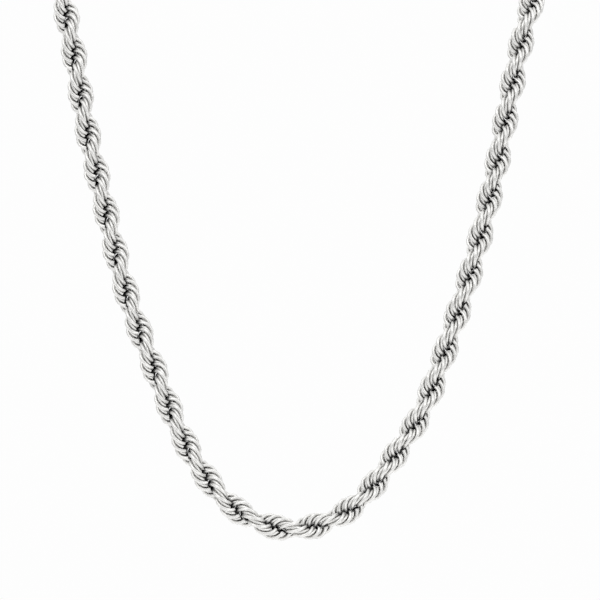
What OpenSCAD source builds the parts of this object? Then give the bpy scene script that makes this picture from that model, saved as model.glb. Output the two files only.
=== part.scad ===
// Rope chain necklace in polished metal: a loop of twisted rope, closed at the nape by a plain clasp.
// Millimetres, +Z up, +X to the right of the front view, front of the loop towards -Y.
// The origin is the middle of the closure, where the loop sits on the back of the neck.

/* [Rope] */
// Width of the rope across the lobes of its twist
rope_w = 6; // [5.4:0.1:6.6]
// Thickness of the rope at the waists between its lobes
rope_t = 3.8; // [3.2:0.1:4.6]
// Length of one lobe, half a turn of the twist, left of the lowest point
lobe_left = 9.65; // [8.6:0.05:10.6]
// Length of one lobe in the bend right of the lowest point, where the rope is laid tighter
lobe_bend = 8.6; // [7.6:0.05:9.6]
// How far that bend runs along the rope from the lowest point
bend_run = 39; // [20:1:60]
// Length of one lobe right of the bend
lobe_right = 9.45; // [8.4:0.05:10.4]
// Turn of the twist at the lowest point of the loop
lobe_phase = 86; // [0:1:179]

/* [End caps] */
// Length of each end cap from its mouth to its floor
cap_l = 5; // [4:0.25:7]
// Wall of the end cap, also the thickness of its floor
cap_wall = 0.4; // [0.3:0.05:0.6]
// Clearance between the rope and the inside of its cap
cap_fit = 0.15; // [0.1:0.05:0.3]
// Height of the domed nose that carries the cap's eye
nose_h = 1.6; // [1.2:0.1:2.4]
// Length of the raised rim round the cap's mouth
rim_t = 0.5; // [0.3:0.1:0.9]
// Height of the rim over the cap's wall
rim_h = 0.2; // [0.1:0.05:0.4]
// How far each cap turns forwards about its jump ring, to follow the neck
cap_turn = 16; // [10:1:22]

/* [Eyes and jump rings] */
// Wire of the eyes on the caps and on the clasp
eye_wire = 1; // [0.8:0.05:1.2]
// Outside diameter of each eye
eye_w = 4.2; // [4:0.1:5]
// Wire of each jump ring
ring_wire = 0.9; // [0.7:0.05:1]
// Outside diameter of each jump ring
ring_w = 5.6; // [5.2:0.1:6.4]
// Play where one ring bears on the next
play = 0.15; // [0.1:0.05:0.3]

/* [Clasp] */
// Outside length of the clasp's loop
clasp_l = 12; // [10:0.5:16]
// Outside width of the clasp's loop
clasp_w = 6.6; // [6:0.1:8]
// Wire of the clasp's loop
clasp_wire = 1.5; // [1.2:0.1:1.8]

/* [Hidden] */
$fn = 48;

// Middle line of the rope between its caps, from the left cap to the right one: [x, y, z].
// The rows from z = -28 down to the lowest point and up to z = -28 again lie close to one leaning plane.
route = [
    [-34, -8.5, -0.5],
    [-44.5, -16.5, -2],
    [-52.5, -27.5, -3.5],
    [-57.5, -40, -5],
    [-59.5, -53, -6.5],
    [-60, -66, -8],
    [-59.5, -77, -11.5],
    [-58, -86.5, -18.5],
    [-55.5, -92.5, -28],
    [-53, -95.5, -40],
    [-50, -99, -57],
    [-45.5, -103, -76],
    [-40.5, -107, -95.5],
    [-34, -110.5, -113],
    [-28, -113.5, -127.5],
    [-22, -115.5, -138],
    [-13.5, -117.5, -146.5],
    [-2.5, -118, -150],
    [8, -117.5, -147.5],
    [15.5, -116.5, -141.5],
    [22.5, -114.5, -132],
    [29, -112, -121],
    [35.5, -108, -103],
    [40.5, -105, -87],
    [45, -101.5, -69],
    [48.5, -98, -51.5],
    [51, -95.5, -39.5],
    [54, -92.5, -28],
    [57, -86.5, -18.5],
    [58.5, -77, -11.5],
    [59, -66, -8],
    [58.5, -53, -6.5],
    [56.5, -40, -5],
    [52, -27.5, -3.5],
    [44, -16.5, -2],
    [34, -8.5, -0.5],
];
// Point that the lobes of the twist are turned away from, inside the loop
loop_middle = [0, -100, -60];

// Rope: samples in each span of the route, rings in each lobe and sides of a ring
span_samples = 12;
lobe_rings = 6;
rope_sides = 12;
// Straight run of the rope in front of each cap's mouth
rope_lead = 5;
// Flat tip of the cap's nose under its eye, and the steps of the dome round it
nose_tip_r = 0.5;
nose_steps = 12;

eye_r = (eye_w - eye_wire) / 2;
ring_r = (ring_w - ring_wire) / 2;
// Distance between the middles of two wires that bear on each other
eye_to_ring = (eye_wire + ring_wire) / 2 + play;
clasp_to_ring = (clasp_wire + ring_wire) / 2 + play;

// Places along X before the closure is centred on the origin
clasp_tip = (clasp_l - clasp_wire) / 2;
clasp_eye_x = -clasp_l / 2 - eye_r;
left_ring_x = clasp_eye_x - eye_r + eye_to_ring - ring_r;
right_ring_x = clasp_tip - clasp_to_ring + ring_r;
closure_shift = -(left_ring_x + right_ring_x) / 2;

// Places along a cap's own axis, measured outwards from the middle of its jump ring
cap_eye_u = ring_r - eye_to_ring + eye_r;
cap_nose_u = cap_eye_u + eye_r;
cap_floor_u = cap_nose_u + nose_h;
cap_mouth_u = cap_floor_u + cap_l;
rope_end_u = cap_floor_u + cap_wall + cap_fit;
cap_bore_r = rope_w / 2 + cap_fit;
cap_r = cap_bore_r + cap_wall;

// side is -1 for the left half of the loop and 1 for the right half
function ring_x(side) = closure_shift + (side < 0 ? left_ring_x : right_ring_x);
function cap_point(side, u) = [ring_x(side) + side * u * cos(cap_turn), -u * sin(cap_turn), 0];

function unit(v) = v / norm(v);
function blend(a, b, c, d, t) =
    (2 * b + (c - a) * t + (2 * a - 5 * b + 4 * c - d) * t ^ 2 + (3 * b - a - 3 * c + d) * t ^ 3) / 2;
function cap_line(side) = [for (u = [rope_end_u, cap_mouth_u, cap_mouth_u + rope_lead]) cap_point(side, u)];
function reversed(list) = [for (i = [len(list) - 1:-1:0]) list[i]];

// Corners of the path, with one more beyond each end for the spline
corners = concat(cap_line(-1), route, reversed(cap_line(1)));
last_corner = len(corners) - 1;
knots = concat(
    [2 * corners[0] - corners[1]],
    corners,
    [2 * corners[last_corner] - corners[last_corner - 1]]
);
path = concat(
    [for (i = [1:last_corner]) for (j = [0:span_samples - 1])
        blend(knots[i - 1], knots[i], knots[i + 1], knots[i + 2], j / span_samples)],
    [corners[last_corner]]
);
path_steps = [for (i = [1:len(path) - 1]) norm(path[i] - path[i - 1])];
path_s = [for (i = 0, s = 0; i < len(path); i = i + 1, s = s + (i < len(path) ? path_steps[i - 1] : 0)) s];
rope_l = path_s[len(path_s) - 1];
path_by_s = [for (axis = [0:2]) [for (i = [0:len(path) - 1]) [path_s[i], path[i][axis]]]];
lowest_z = min([for (p = path) p.z]);
lowest_s = [for (i = [0:len(path) - 1]) if (path[i].z == lowest_z) path_s[i]][0];

function path_at(s) = [for (axis = [0:2]) lookup(s, path_by_s[axis])];
function path_along(s) = unit(path_at(s + 1) - path_at(s - 1));
function lobes_to(d) = min(d, 0) / lobe_left + min(max(d, 0), bend_run) / lobe_bend + max(d - bend_run, 0) / lobe_right;
function twist_at(s) = lobe_phase + 180 * lobes_to(s - lowest_s);

// Section of the rope: two half circles with straight sides between them, as two strands side by side have
half_sides = rope_sides / 2;
edge_r = rope_t / 2 / cos(90 / half_sides);
rope_section = [for (side = [0, 1]) for (j = [0:half_sides - 1]) let (a = 180 * (side + (j + 0.5) / half_sides) - 90)
    [(1 - 2 * side) * (rope_w - rope_t) / 2 + edge_r * cos(a), edge_r * sin(a)]];

// Ring of points round the rope at distance s, the section turned with the twist
function rope_ring(s) =
    let (p = path_at(s), along = path_along(s), outward = p - loop_middle)
    let (n = unit(outward - (outward * along) * along), b = cross(along, n), a = twist_at(s))
    let (wide = n * cos(a) + b * sin(a), thin = b * cos(a) - n * sin(a))
    [for (q = rope_section) p + wide * q.x + thin * q.y];

module rope_chain() {
    rings = ceil(lobe_rings * rope_l / lobe_left);
    points = [for (i = [0:rings]) each rope_ring(rope_l * i / rings)];
    start_face = [for (j = [0:rope_sides - 1]) j];
    end_face = [for (j = [rope_sides - 1:-1:0]) rings * rope_sides + j];
    sides = [for (i = [0:rings - 1]) for (j = [0:rope_sides - 1])
        let (a = i * rope_sides + j, b = i * rope_sides + (j + 1) % rope_sides)
        each [[a, a + rope_sides, b + rope_sides], [a, b + rope_sides, b]]];
    color("silver") polyhedron(points = points, faces = concat([start_face], sides, [end_face]), convexity = 10);
}

module wire_ring(outside, wire) {
    rotate_extrude() translate([(outside - wire) / 2, 0]) circle(d = wire);
}

// Half of the cap's section, [distance along its axis, radius]: domed nose, wall, raised rim and bore
cap_section = concat(
    [for (i = [0:nose_steps]) let (a = 90 * i / nose_steps)
        [cap_floor_u - nose_h * cos(a), nose_tip_r + (cap_r - nose_tip_r) * sin(a)]],
    [
        [cap_mouth_u - rim_t, cap_r],
        [cap_mouth_u - rim_t, cap_r + rim_h],
        [cap_mouth_u, cap_r + rim_h],
        [cap_mouth_u, cap_bore_r],
        [cap_floor_u + cap_wall, cap_bore_r],
        [cap_floor_u + cap_wall, 0],
        [cap_floor_u - nose_h, 0],
    ]
);

module end_cap(side) {
    color("silver")
    translate([ring_x(side), 0, 0])
    rotate([0, 0, side < 0 ? 180 + cap_turn : -cap_turn]) {
        rotate([0, 90, 0]) rotate_extrude() polygon([for (p = cap_section) [p.y, p.x]]);
        translate([cap_eye_u, 0, 0]) rotate([90, 0, 0]) wire_ring(eye_w, eye_wire);
    }
}

module jump_ring(side) {
    color("silver") translate([ring_x(side), 0, 0]) wire_ring(ring_w, ring_wire);
}

module clasp() {
    bend_r = (clasp_w - clasp_wire) / 2;
    straight = clasp_l - clasp_w;
    color("silver") translate([closure_shift, 0, 0]) rotate([90, 0, 0]) {
        for (side = [-1, 1]) {
            translate([side * straight / 2, 0, 0]) rotate([0, 0, -side * 90])
                rotate_extrude(angle = 180) translate([bend_r, 0]) circle(d = clasp_wire);
            translate([-straight / 2, side * bend_r, 0]) rotate([0, 90, 0]) cylinder(d = clasp_wire, h = straight);
        }
        translate([clasp_eye_x, 0, 0]) wire_ring(eye_w, eye_wire);
    }
}

rope_chain();
end_cap(-1);  // end_cap_left
end_cap(1);  // end_cap_right
jump_ring(-1);  // jump_ring_left
jump_ring(1);  // jump_ring_right
clasp();
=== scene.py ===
"""Rope chain necklace: its wire links, its finishes and the stage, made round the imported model."""

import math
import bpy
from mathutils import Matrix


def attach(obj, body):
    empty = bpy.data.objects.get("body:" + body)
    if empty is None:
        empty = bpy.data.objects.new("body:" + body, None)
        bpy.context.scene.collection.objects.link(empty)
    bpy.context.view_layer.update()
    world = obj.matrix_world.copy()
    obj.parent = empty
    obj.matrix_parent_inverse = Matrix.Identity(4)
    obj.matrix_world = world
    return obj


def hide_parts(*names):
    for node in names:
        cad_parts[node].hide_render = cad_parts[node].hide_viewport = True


bl_info = {
    "name": "Rope Chain Necklace",
    "version": (1, 0, 0),
    "blender": (4, 5, 0),
    "location": "3D View > Sidebar > Rope Chain",
    "description": "Lays a rope chain's wire links along its path, finishes its fittings and sets its stage",
    "category": "Add Mesh",
}

import bpy
from bpy.props import FloatProperty, FloatVectorProperty, IntProperty, PointerProperty
from mathutils import Matrix, Vector
from mathutils.bvhtree import BVHTree

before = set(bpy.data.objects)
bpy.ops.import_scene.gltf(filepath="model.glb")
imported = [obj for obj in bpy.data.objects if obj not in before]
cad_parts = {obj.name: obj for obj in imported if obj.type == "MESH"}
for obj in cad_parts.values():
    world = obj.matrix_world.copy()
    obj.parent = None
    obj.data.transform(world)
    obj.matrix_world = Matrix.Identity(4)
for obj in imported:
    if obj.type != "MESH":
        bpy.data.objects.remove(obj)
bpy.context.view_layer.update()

MM = 0.001
ROPE = "rope_chain"
FITTINGS = ("end_cap_left", "end_cap_right", "jump_ring_left", "jump_ring_right", "clasp")

# The rope's middle line between its caps, in millimetres, from the left cap to the right one
ROUTE = (
    (-34, -8.5, -0.5),
    (-44.5, -16.5, -2),
    (-52.5, -27.5, -3.5),
    (-57.5, -40, -5),
    (-59.5, -53, -6.5),
    (-60, -66, -8),
    (-59.5, -77, -11.5),
    (-58, -86.5, -18.5),
    (-55.5, -92.5, -28),
    (-53, -95.5, -40),
    (-50, -99, -57),
    (-45.5, -103, -76),
    (-40.5, -107, -95.5),
    (-34, -110.5, -113),
    (-28, -113.5, -127.5),
    (-22, -115.5, -138),
    (-13.5, -117.5, -146.5),
    (-2.5, -118, -150),
    (8, -117.5, -147.5),
    (15.5, -116.5, -141.5),
    (22.5, -114.5, -132),
    (29, -112, -121),
    (35.5, -108, -103),
    (40.5, -105, -87),
    (45, -101.5, -69),
    (48.5, -98, -51.5),
    (51, -95.5, -39.5),
    (54, -92.5, -28),
    (57, -86.5, -18.5),
    (58.5, -77, -11.5),
    (59, -66, -8),
    (58.5, -53, -6.5),
    (56.5, -40, -5),
    (52, -27.5, -3.5),
    (44, -16.5, -2),
    (34, -8.5, -0.5),
)
# Steps of the path from one point of the route to the next
SPAN_SAMPLES = 12
# Point inside the loop that the twist is measured from
LOOP_MIDDLE = Vector((0, -100, -60)) * MM
# The closure's places, in millimetres: jump ring from the middle, and along a cap from its ring
RING_X = 8.35
CAP_TURN = math.radians(16)
ROPE_END_U = 6.6
CAP_MOUTH_U = 11.05
ROPE_LEAD = 5
# Rays from each point of a link, past its neighbours on both sides, that tell how open it lies
NEIGHBOURS = 9
RAYS = 96
RAY_START = 0.02 * MM
# Wipe marks on the metal: how dense, where they begin and end in their noise, how deep their tone
MARK_SCALE = 700
MARK_DETAIL = 3
MARK_EDGES = (0.35, 0.7)
MARK_TONE = 0.9
# Fine grain of the metal
GRAIN_SCALE = 6000
GRAIN_DETAIL = 2
GRAIN_STRENGTH = 0.06
GRAIN_DEPTH = 0.02 * MM
# Where painted shade darkens the links: by how open they lie, and by millimetres out from the rope's flat
# middle
OPEN_EDGES = (0.06, 0.2)
SEAM_EDGES = (0.35, 1.2)
# Painted light at the rim: millimetres out from the rope's flat middle where it lifts the painted shade, and
# how much it lifts
RIM_LIGHT_EDGES = (1.4, 2.2)
RIM_LIGHT_GAIN = 0.15
RECESS_ROUGHNESS = 0.25
# Grain of the floor's paper
PAPER_SCALE = 900
PAPER_DETAIL = 2
PAPER_TONE = 0.985
PAPER_ROUGHNESS = 0.9
# Light of the surroundings: its level, what it gains upwards, and what four sides and the front lose
SKY_LEVEL = 1.12
SKY_RISE = 0.12
SIDE_SHADE = 0.5
SIDE_EDGES = (0.78, 0.97)
FRONT_SHADE = 0.15
FRONT_EDGES = (0.75, 0.95)
# Nearest and farthest distance that the camera shows, in metres
CAMERA_CLIP = (0.05, 20)
# Name, place, width and power of each light, and the point that all of them face
LIGHTS = (
    ("key_light", (-0.5, -0.9, 0.7), 0.35, 1.35),
    ("fill_light", (0.7, -0.7, 0.3), 0.3, 0.75),
    ("back_light", (0.1, 0.9, 0.6), 0.4, 1.05),
)
LIGHT_TARGET = Vector((0, -0.1, -0.07))
# Sides of the round floor, and how far in front of the closure its middle lies
FLOOR_SIDES = 96
FLOOR_FORWARD = 0.1


def length(name, text, millimetres, low=0.0):
    """A size that a user can change, shown in the scene's units."""
    return FloatProperty(
        name=name,
        description=text,
        default=millimetres * MM,
        min=low * MM,
        unit="LENGTH",
        subtype="DISTANCE",
        precision=5,
    )


def angle(name, text, degrees):
    """An angle that a user can change."""
    return FloatProperty(name=name, description=text, default=math.radians(degrees), subtype="ANGLE")


def share(name, text, value):
    """A number from 0 to 1 that a user can change."""
    return FloatProperty(name=name, description=text, default=value, min=0, max=1, subtype="FACTOR")


def colour(name, text, value):
    """A colour that a user can change."""
    return FloatVectorProperty(
        name=name,
        description=text,
        default=value,
        size=3,
        min=0,
        max=1,
        subtype="COLOR",
    )


class RopeChainLay(bpy.types.PropertyGroup):
    """How the links lie along the rope."""

    lobe_left: length("Left lobe", "Length of half a turn of the twist, left of the lowest point", 9.65, 1)
    lobe_bend: length("Lobe in the bend", "Length of half a turn right of the lowest point", 8.6, 1)
    bend_run: length("Bend", "How far the bend runs to the right of the lowest point", 39)
    lobe_right: length("Right lobe", "Length of half a turn of the twist, right of the bend", 9.45, 1)
    phase: angle("Turn at the bottom", "Turn of the twist at the lowest point of the loop", 86)
    per_lobe: IntProperty(name="Links in a lobe", description="Links in half a turn", default=12, min=8)
    end_room: length("End room", "From the rope's end to the middle of its last link", 3.1)


class RopeChainLink(bpy.types.PropertyGroup):
    """One link: a slightly bent ring of wire with a cut, leaning across the rope."""

    radius: length("Radius", "Half the link's width, to the middle of its wire", 2.4, 0.5)
    bend: length("Bend", "How far the link's wire bends out of its plane", -0.1, -1)
    bend_place: angle("Place of the bend", "Where round the link its wire is bent out", 140)
    wire: length("Wire", "Thickness of the link's wire", 0.83, 0.1)
    outwards: length("Outwards", "How far the link's middle lies out from the rope's middle", 0.3)
    tilt: angle("Tilt", "How far the link leans off the rope's length", 7.5)
    turn: angle("Turn", "How far each link turns about the rope against the twist", 5)
    pitch: length("Pitch", "From one link to the next where the rope is straight", 0.79, 0.2)
    cut_place: angle("Place of the cut", "Where round the link its cut lies", 100)
    cut_half: angle("Half of the cut", "Half the opening of the link's cut", 24)
    segments: IntProperty(name="Segments", description="Lengths of wire round the link", default=14, min=6)
    sides: IntProperty(name="Sides", description="Sides of the wire", default=6, min=3)


class RopeChainFinish(bpy.types.PropertyGroup):
    """Colours and polish of the metal."""

    metal: colour("Links", "Colour of the links' polished metal", (0.78, 0.775, 0.76))
    # Painted shade: the fittings are the same steel as the links, given a darker colour to match the shaded
    # links
    shaded_fittings_metal: colour("Fittings", "Colour of the smoother and wider fittings", (0.525, 0.52, 0.51))
    # Painted shade: near-black colour painted where the links lie deep between their neighbours
    shadow: colour("Recess", "Colour of the metal deep between the links", (0.005, 0.005, 0.005))
    gloss: share("Links' roughness", "Roughness of the links", 0.38)
    smooth_gloss: share("Fittings' roughness", "Roughness of the smoother fittings", 0.26)
    worn: share("Wear", "Roughness that handling adds in places", 0.12)


class RopeChainStage(bpy.types.PropertyGroup):
    """Camera, lights and floor."""

    camera_x: length("Camera side", "How far the camera stands to the right", -0.2, -1000)
    camera_y: length("Camera place", "Where the camera stands in front of the loop", -1605, -5000)
    camera_z: length("Camera height", "Height of the camera", -97.2, -1000)
    lens: FloatProperty(name="Lens", description="Focal length", default=387.0, min=20, unit="CAMERA")
    floor_z: length("Floor height", "Height of the floor", -200, -1000)
    floor_radius: length("Floor radius", "Radius of the floor", 430)
    paper: colour("Backdrop", "Colour of the backdrop and the floor", (0.985, 0.985, 0.985))


PROPERTY_GROUPS = {
    "rope_chain_lay": RopeChainLay,
    "rope_chain_link": RopeChainLink,
    "rope_chain_finish": RopeChainFinish,
    "rope_chain_stage": RopeChainStage,
}


class Value:
    """One output of a node. Sums on it add Math nodes to its tree."""

    def __init__(self, graph, socket):
        self.graph = graph
        self.socket = socket

    def math(self, operation, *values):
        return self.graph.node("ShaderNodeMath", {"operation": operation}, *values)

    def __add__(self, other):
        return self.math("ADD", self, other)

    def __radd__(self, other):
        return self.math("ADD", other, self)

    def __sub__(self, other):
        return self.math("SUBTRACT", self, other)

    def __rsub__(self, other):
        return self.math("SUBTRACT", other, self)

    def __mul__(self, other):
        return self.math("MULTIPLY", self, other)

    def __rmul__(self, other):
        return self.math("MULTIPLY", other, self)

    def __truediv__(self, other):
        return self.math("DIVIDE", self, other)

    def __neg__(self):
        return self.math("MULTIPLY", self, -1)

    def size(self):
        return self.math("ABSOLUTE", self)

    def most(self, other):
        return self.math("MAXIMUM", self, other)

    def least(self, other):
        return self.math("MINIMUM", self, other)

    def wave(self):
        return self.math("COSINE", self)

    def step(self, low, high):
        """Goes smoothly from 0 to 1 as this value goes from low to high."""
        settings = {"interpolation_type": "SMOOTHSTEP"}
        return self.graph.node("ShaderNodeMapRange", settings, self, low, high)


class Graph:
    """Adds nodes to a tree, one call for each."""

    def __init__(self, tree):
        self.tree = tree
        tree.nodes.clear()

    def put(self, socket, value):
        if isinstance(value, Value):
            self.tree.links.new(value.socket, socket)
        else:
            socket.default_value = value

    def node(self, kind, settings=None, *values, output=0, **named):
        """Adds a node: its settings come first, then its inputs in order or by name."""
        made = self.tree.nodes.new(kind)
        for name, value in (settings or {}).items():
            setattr(made, name, value)
        inputs = [socket for socket in made.inputs if socket.enabled]
        for socket, value in zip(inputs, values):
            if value is not None:
                self.put(socket, value)
        for name, value in named.items():
            wanted = name.replace("_", " ").lower()
            self.put(next(socket for socket in inputs if socket.name.lower() == wanted), value)
        outputs = [socket for socket in made.outputs if socket.enabled]
        if not outputs:
            return made
        if isinstance(output, str):
            return Value(self, next(socket for socket in outputs if socket.name == output))
        return Value(self, outputs[output])

    def vector(self, operation, *values, output=0):
        return self.node("ShaderNodeVectorMath", {"operation": operation}, *values, output=output)

    def axes(self, vector):
        """The three parts of a vector."""
        made = self.tree.nodes.new("ShaderNodeSeparateXYZ")
        self.put(made.inputs[0], vector)
        return [Value(self, socket) for socket in made.outputs]

    def scaled(self, vector, factor):
        """A vector times a number."""
        return self.node("ShaderNodeVectorMath", {"operation": "SCALE"}, vector, Scale=factor)

    def blend(self, factor, start, end):
        """A colour that goes from start to end with the factor."""
        return self.node("ShaderNodeMix", {"data_type": "RGBA"}, Factor=factor, A=start, B=end)

    def joined(self, x, y, z):
        """A vector of three numbers."""
        return self.node("ShaderNodeCombineXYZ", None, x, y, z)

    def stored(self, name):
        """A number that the mesh holds under a name."""
        return self.node("ShaderNodeAttribute", {"attribute_name": name}, output="Fac")


class GeometryGraph(Graph):
    """A geometry tree with named inputs."""

    def __init__(self, name):
        super().__init__(bpy.data.node_groups.new(name, "GeometryNodeTree"))
        self.tree.interface.new_socket(name="Geometry", in_out="OUTPUT", socket_type="NodeSocketGeometry")
        self.entry = self.tree.nodes.new("NodeGroupInput")
        self.given = {}

    def input(self, name, value, kind="NodeSocketFloat"):
        """A named input of the tree, with the value that the modifier gives it, if any."""
        socket = self.tree.interface.new_socket(name=name, in_out="INPUT", socket_type=kind)
        if value is not None:
            self.given[socket.identifier] = value
        return Value(self, self.entry.outputs[name])

    def finish(self, geometry):
        self.tree.links.new(geometry.socket, self.tree.nodes.new("NodeGroupOutput").inputs[0])

    def made_on(self, source, name):
        """Runs the tree on an object and returns its result as a plain mesh object at the origin."""
        modifier = source.modifiers.new(self.tree.name, "NODES")
        modifier.node_group = self.tree
        for identifier, value in self.given.items():
            modifier[identifier] = value
        depsgraph = bpy.context.evaluated_depsgraph_get()
        depsgraph.update()
        mesh = bpy.data.meshes.new_from_object(source.evaluated_get(depsgraph))
        mesh.name = name
        source.modifiers.remove(modifier)
        piece = bpy.data.objects.new(name, mesh)
        bpy.context.scene.collection.objects.link(piece)
        return piece


def cap_point(side, along):
    """Point on a cap's axis, in millimetres from the middle of its jump ring."""
    x = side * (RING_X + along * math.cos(CAP_TURN))
    return (x, -along * math.sin(CAP_TURN), 0)


def rope_path():
    """The rope's middle line as close points, in metres."""
    stations = (ROPE_END_U, CAP_MOUTH_U, CAP_MOUTH_U + ROPE_LEAD)
    left = [cap_point(-1, along) for along in stations]
    right = [cap_point(1, along) for along in reversed(stations)]
    corners = [Vector(corner) * MM for corner in (*left, *ROUTE, *right)]
    knots = [2 * corners[0] - corners[1], *corners, 2 * corners[-1] - corners[-2]]
    points = []
    for a, b, c, d in zip(knots, knots[1:], knots[2:], knots[3:]):
        for step in range(SPAN_SAMPLES):
            t = step / SPAN_SAMPLES
            bend = (2 * a - 5 * b + 4 * c - d) * t**2 + (3 * b - a - 3 * c + d) * t**3
            points.append((2 * b + (c - a) * t + bend) / 2)
    points.append(corners[-1])
    return points


def path_curve(points):
    """A curve object along the points."""
    curve = bpy.data.curves.new("rope_path", "CURVE")
    curve.dimensions = "3D"
    spline = curve.splines.new("POLY")
    spline.points.add(len(points) - 1)
    for place, point in zip(spline.points, points):
        place.co = (*point, 1)
    piece = bpy.data.objects.new("rope_path", curve)
    bpy.context.scene.collection.objects.link(piece)
    return piece


def wire_link(link):
    """One link as a mesh about the rope's middle: +X outwards, +Z along the rope."""
    graph = GeometryGraph("wire_link")
    radius = graph.input("Radius", link.radius)
    wire = graph.input("Wire", link.wire)
    outwards = graph.input("Outwards", link.outwards)
    tilt = graph.input("Tilt", link.tilt)
    bend = graph.input("Bend", link.bend)
    bend_place = graph.input("Place of the bend", link.bend_place)
    cut_place = graph.input("Place of the cut", link.cut_place)
    cut_half = graph.input("Half of the cut", link.cut_half)
    segments = graph.input("Segments", link.segments, "NodeSocketInt")
    sides = graph.input("Sides", link.sides, "NodeSocketInt")
    line = graph.node(
        "GeometryNodeCurveArc",
        {"mode": "RADIUS"},
        Resolution=segments + 1,
        Radius=radius,
        Start_Angle=cut_place + cut_half,
        Sweep_Angle=2 * math.pi - 2 * cut_half,
    )
    x, y, _ = graph.axes(graph.node("GeometryNodeInputPosition"))
    bent = bend * (2 * (y.math("ARCTAN2", y, x) - bend_place)).wave()
    line = graph.node("GeometryNodeSetPosition", None, line, Offset=graph.joined(0, 0, bent))
    stood = graph.node(
        "GeometryNodeTransform",
        None,
        line,
        Translation=graph.joined(outwards, 0, 0),
        Rotation=graph.joined(tilt + math.pi / 2, 0, 0),
    )
    round_wire = graph.node("GeometryNodeCurvePrimitiveCircle", {"mode": "RADIUS"}, sides, wire / 2)
    body = graph.node("GeometryNodeCurveToMesh", None, stood, round_wire, Fill_Caps=True)
    graph.finish(graph.node("GeometryNodeSetShadeSmooth", None, body))
    source = bpy.data.objects.new("link_source", bpy.data.meshes.new("link_source"))
    bpy.context.scene.collection.objects.link(source)
    piece = graph.made_on(source, "wire_link")
    bpy.data.objects.remove(source)
    return piece


def store_depth(piece, per_lobe, pitch):
    """Stores how open each point of a link lies, and its millimetres out from the rope's flat middle."""
    mesh = piece.data
    points = [vertex.co.copy() for vertex in mesh.vertices]
    faces = [list(face.vertices) for face in mesh.polygons]
    all_points = []
    all_faces = []
    for step in range(-NEIGHBOURS, NEIGHBOURS + 1):
        turn = math.pi * step / per_lobe + (math.pi if step % 2 else 0)
        place = Matrix.Translation((0, 0, step * pitch)) @ Matrix.Rotation(turn, 4, "Z")
        first = len(all_points)
        all_points += [place @ point for point in points]
        all_faces += [[first + index for index in face] for face in faces]
    tree = BVHTree.FromPolygons(all_points, all_faces)
    openness = mesh.attributes.new("openness", "FLOAT", "POINT")
    spread = mesh.attributes.new("spread", "FLOAT", "POINT")
    for index, vertex in enumerate(mesh.vertices):
        normal = vertex.normal
        seen = 0.0
        whole = 0.0
        for ray in range(RAYS):
            height = 1 - (2 * ray + 1) / RAYS
            turn = ray * math.pi * (3 - math.sqrt(5))
            flat = math.sqrt(1 - height * height)
            direction = Vector((flat * math.cos(turn), flat * math.sin(turn), height))
            weight = direction.dot(normal)
            if weight <= 0:
                continue
            whole += weight
            if tree.ray_cast(vertex.co + normal * RAY_START, direction)[0] is None:
                seen += weight
        openness.data[index].value = seen / whole
        spread.data[index].value = abs(vertex.co.x) / MM


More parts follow.
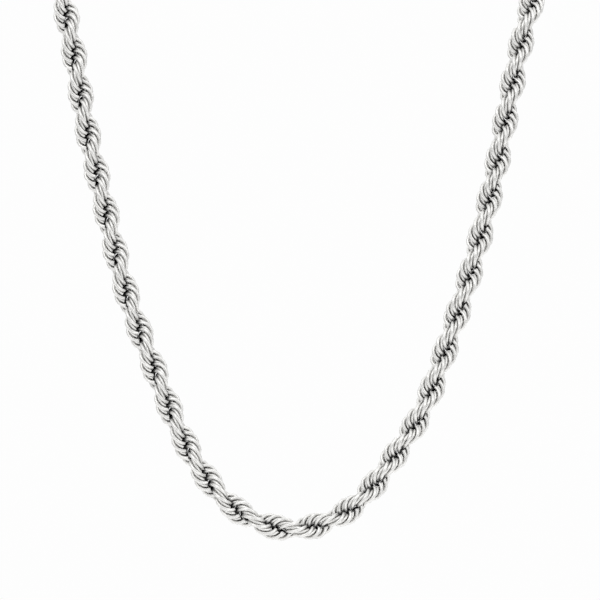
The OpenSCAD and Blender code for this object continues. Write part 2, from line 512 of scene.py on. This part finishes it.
def laid_links(link_piece, link, path_points, lay, material):
    """All the links as one mesh: laid along a straight rope, which is then bent along the path."""
    lengths = [0.0]
    for a, b in zip(path_points, path_points[1:]):
        lengths.append(lengths[-1] + (b - a).length)
    lowest = lengths[min(range(len(path_points)), key=lambda index: path_points[index].z)]
    right_run = lengths[-1] - lowest - lay.end_room
    lobes_right = lay.bend_run / lay.lobe_bend + (right_run - lay.bend_run) / lay.lobe_right
    left = int(lay.per_lobe * (lowest - lay.end_room) / lay.lobe_left)
    right = int(lay.per_lobe * lobes_right)
    graph = GeometryGraph("rope_links")
    path = graph.input("Geometry", None, "NodeSocketGeometry")
    piece = graph.input("Link", link_piece, "NodeSocketObject")
    finish = graph.input("Material", material, "NodeSocketMaterial")
    links_left = graph.input("Links on the left", left, "NodeSocketInt")
    links_right = graph.input("Links on the right", right, "NodeSocketInt")
    pitch = graph.input("Pitch", link.pitch)
    step_left = graph.input("Pitch on the left", lay.lobe_left / lay.per_lobe)
    step_bend = graph.input("Pitch in the bend", lay.lobe_bend / lay.per_lobe)
    step_right = graph.input("Pitch on the right", lay.lobe_right / lay.per_lobe)
    bend_run = graph.input("Bend", lay.bend_run)
    lowest_at = graph.input("Lowest point", lowest)
    phase = graph.input("Turn at the bottom", lay.phase + link.turn)
    turn = graph.input("Turn of a link", math.pi / lay.per_lobe)
    middle = graph.input("Loop middle", LOOP_MIDDLE, "NodeSocketVector")
    number = graph.node("GeometryNodeInputIndex") - links_left
    stand = graph.joined(0, 0, number * pitch)
    points = graph.node("GeometryNodePoints", None, links_left + links_right + 1, stand)
    turned = graph.joined(0, 0, phase + number * (turn + math.pi))
    rotation = graph.node("FunctionNodeEulerToRotation", None, turned)
    shape = graph.node("GeometryNodeObjectInfo", {"transform_space": "ORIGINAL"}, piece, output="Geometry")
    laid = graph.node("GeometryNodeInstanceOnPoints", None, points, Instance=shape, Rotation=rotation)
    straight = graph.node("GeometryNodeRealizeInstances", None, laid)

    x, y, z = graph.axes(graph.node("GeometryNodeInputPosition"))
    number = z / pitch
    at = lowest_at + number.least(0) * step_left
    at = at + (number.most(0) * step_bend).least(bend_run)
    at = at + (number - bend_run / step_bend).most(0) * step_right

    def place(distance):
        settings = {"mode": "LENGTH", "data_type": "FLOAT"}
        return graph.node("GeometryNodeSampleCurve", settings, path, Length=distance, output="Position")

    here = place(at)
    along = graph.vector("NORMALIZE", graph.vector("SUBTRACT", place(at + MM), place(at - MM)))
    outward = graph.vector("SUBTRACT", here, middle)
    lengthwise = graph.vector("DOT_PRODUCT", outward, along, output="Value")
    level = graph.vector("NORMALIZE", graph.vector("SUBTRACT", outward, graph.scaled(along, lengthwise)))
    across = graph.vector("CROSS_PRODUCT", along, level)
    off = graph.vector("ADD", graph.scaled(level, x), graph.scaled(across, y))
    whole = graph.node("GeometryNodeSetPosition", None, straight, Position=graph.vector("ADD", here, off))
    graph.finish(graph.node("GeometryNodeSetMaterial", None, whole, Material=finish))
    source = path_curve(path_points)
    links = graph.made_on(source, "rope_links")
    bpy.data.objects.remove(source)
    return links


def shaded(tint, level):
    """A darker colour of the same hue, for a colour socket."""
    return (*(level * part for part in tint), 1)


def polished_metal(name, finish, tint, gloss, painted_recess_shade):
    """Polished steel with faint wipe marks and soft wear; on the links, painted shade deep between them,
    lifted by painted light at their outer rim.
    """
    material = bpy.data.materials.new(name)
    material.use_nodes = True
    graph = Graph(material.node_tree)
    place = graph.node("ShaderNodeTexCoord", output="Object")
    clouds = graph.node("ShaderNodeTexNoise", None, place, Scale=MARK_SCALE, Detail=MARK_DETAIL)
    grain = graph.node("ShaderNodeTexNoise", None, place, Scale=GRAIN_SCALE, Detail=GRAIN_DETAIL)
    marks = clouds.step(*MARK_EDGES)
    tone = graph.blend(marks, (*tint, 1), shaded(tint, MARK_TONE))
    rough = gloss + finish.worn * marks * grain
    if painted_recess_shade:
        # Painted shade: the links go near black where they lie closed in and near the rope's flat middle,
        # and painted light lifts that shade at the outer rim
        spread = graph.stored("spread")
        # Painted light: the outer rim is lifted out of the painted shade
        rim_light = RIM_LIGHT_GAIN * spread.step(*RIM_LIGHT_EDGES)
        clear_of_painted_shade = (graph.stored("openness") + rim_light).step(*OPEN_EDGES) * spread.step(*SEAM_EDGES)
        tone = graph.blend(clear_of_painted_shade, (*finish.shadow, 1), tone)
        rough = rough + RECESS_ROUGHNESS * (1 - clear_of_painted_shade)
    bump = graph.node("ShaderNodeBump", None, Strength=GRAIN_STRENGTH, Distance=GRAIN_DEPTH, Height=grain)
    surface = {"Base_Color": tone, "Metallic": 1.0, "Roughness": rough, "Normal": bump}
    shader = graph.node("ShaderNodeBsdfPrincipled", None, **surface)
    graph.node("ShaderNodeOutputMaterial", None, shader)
    return material


class ROPECHAIN_OT_links(bpy.types.Operator):
    """Lay the wire links along the rope"""

    bl_idname = "rope_chain.links"
    bl_label = "Links"

    def execute(self, context):
        scene = context.scene
        lay = scene.rope_chain_lay
        sizes = scene.rope_chain_link
        link = wire_link(sizes)
        store_depth(link, lay.per_lobe, sizes.pitch)
        finish = scene.rope_chain_finish
        metal = polished_metal("polished_links", finish, finish.metal, finish.gloss, painted_recess_shade=True)
        links = laid_links(link, sizes, rope_path(), lay, metal)
        bpy.data.objects.remove(link)
        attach(links, "root")
        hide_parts(ROPE)
        return {"FINISHED"}


class ROPECHAIN_OT_fittings(bpy.types.Operator):
    """Polish the end caps, the jump rings and the clasp"""

    bl_idname = "rope_chain.fittings"
    bl_label = "Fittings"

    def execute(self, context):
        finish = context.scene.rope_chain_finish
        # The fittings' colour is the links' steel darkened as painted shade
        tint = finish.shaded_fittings_metal
        metal = polished_metal("polished_fittings", finish, tint, finish.smooth_gloss, painted_recess_shade=False)
        for name in FITTINGS:
            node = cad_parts[name]
            node.data.materials.clear()
            node.data.materials.append(metal)
        return {"FINISHED"}


def plain_material(name, tint, roughness):
    """A matt paper-like surface with a faint grain."""
    material = bpy.data.materials.new(name)
    material.use_nodes = True
    graph = Graph(material.node_tree)
    place = graph.node("ShaderNodeTexCoord", output="Object")
    grain = graph.node("ShaderNodeTexNoise", None, place, Scale=PAPER_SCALE, Detail=PAPER_DETAIL)
    tone = graph.blend(grain, (*tint, 1), shaded(tint, PAPER_TONE))
    shader = graph.node("ShaderNodeBsdfPrincipled", None, Base_Color=tone, Roughness=roughness)
    graph.node("ShaderNodeOutputMaterial", None, shader)
    return material


def sky(paper):
    """White surroundings for soft studio light, greyer straight in front, behind and at the sides."""
    world = bpy.data.worlds.new("studio")
    world.use_nodes = True
    graph = Graph(world.node_tree)
    direction = graph.node("ShaderNodeTexCoord", output="Generated")
    x, y, z = graph.axes(direction)
    sides = x.size().most(y.size()).step(*SIDE_EDGES)
    front = (-y).step(*FRONT_EDGES)
    light = SKY_LEVEL + SKY_RISE * z - SIDE_SHADE * sides - FRONT_SHADE * front
    seen = graph.node("ShaderNodeLightPath", output="Is Camera Ray")
    tone = graph.node("ShaderNodeCombineColor", None, light, light, light)
    background = graph.node("ShaderNodeBackground", None, graph.blend(seen, tone, (*paper, 1)), 1.0)
    graph.node("ShaderNodeOutputWorld", None, background)
    return world


class ROPECHAIN_OT_stage(bpy.types.Operator):
    """Set up the camera, the lights and the floor"""

    bl_idname = "rope_chain.stage"
    bl_label = "Stage"

    def execute(self, context):
        scene = context.scene
        stage = scene.rope_chain_stage
        camera_data = bpy.data.cameras.new("camera")
        camera_data.lens = stage.lens
        camera_data.clip_start, camera_data.clip_end = CAMERA_CLIP
        camera = bpy.data.objects.new("camera", camera_data)
        camera.location = (stage.camera_x, stage.camera_y, stage.camera_z)
        camera.rotation_euler = (math.pi / 2, 0, 0)
        scene.collection.objects.link(camera)
        scene.camera = camera
        scene.world = sky(stage.paper)
        scene.view_settings.view_transform = "Standard"
        scene.view_settings.look = "None"
        for name, place, width, power in LIGHTS:
            lamp = bpy.data.lights.new(name, "AREA")
            lamp.shape = "DISK"
            lamp.size = width
            lamp.energy = power
            light = bpy.data.objects.new(name, lamp)
            light.location = place
            light.rotation_euler = (LIGHT_TARGET - Vector(place)).to_track_quat("-Z", "Y").to_euler()
            light.visible_camera = False
            scene.collection.objects.link(light)
        mesh = bpy.data.meshes.new("floor")
        corners = []
        for index in range(FLOOR_SIDES):
            turn = 2 * math.pi * index / FLOOR_SIDES
            x = stage.floor_radius * math.cos(turn)
            y = stage.floor_radius * math.sin(turn) - FLOOR_FORWARD
            corners.append((x, y, stage.floor_z))
        mesh.from_pydata(corners, [], [list(range(FLOOR_SIDES))])
        mesh.materials.append(plain_material("floor_paper", stage.paper, PAPER_ROUGHNESS))
        floor = bpy.data.objects.new("floor", mesh)
        scene.collection.objects.link(floor)
        return {"FINISHED"}


class ROPECHAIN_PT_panel(bpy.types.Panel):
    """Lists the necklace's pieces"""

    bl_idname = "ROPECHAIN_PT_panel"
    bl_label = "Rope Chain"
    bl_space_type = "VIEW_3D"
    bl_region_type = "UI"
    bl_category = "Rope Chain"

    def draw(self, context):
        layout = self.layout
        for operator in OPERATORS:
            layout.operator(operator.bl_idname)
        for name, group in PROPERTY_GROUPS.items():
            box = layout.box()
            for size in group.__annotations__:
                box.prop(getattr(context.scene, name), size)


OPERATORS = (ROPECHAIN_OT_links, ROPECHAIN_OT_fittings, ROPECHAIN_OT_stage)


def register():
    for group in (*PROPERTY_GROUPS.values(), *OPERATORS, ROPECHAIN_PT_panel):
        bpy.utils.register_class(group)
    for name, group in PROPERTY_GROUPS.items():
        setattr(bpy.types.Scene, name, PointerProperty(type=group))


def unregister():
    for name in PROPERTY_GROUPS:
        delattr(bpy.types.Scene, name)
    for group in (ROPECHAIN_PT_panel, *reversed(OPERATORS), *reversed(PROPERTY_GROUPS.values())):
        bpy.utils.unregister_class(group)


def main():
    register()
    bpy.ops.rope_chain.stage()
    bpy.ops.rope_chain.links()
    bpy.ops.rope_chain.fittings()


if __name__ == "__main__":
    main()
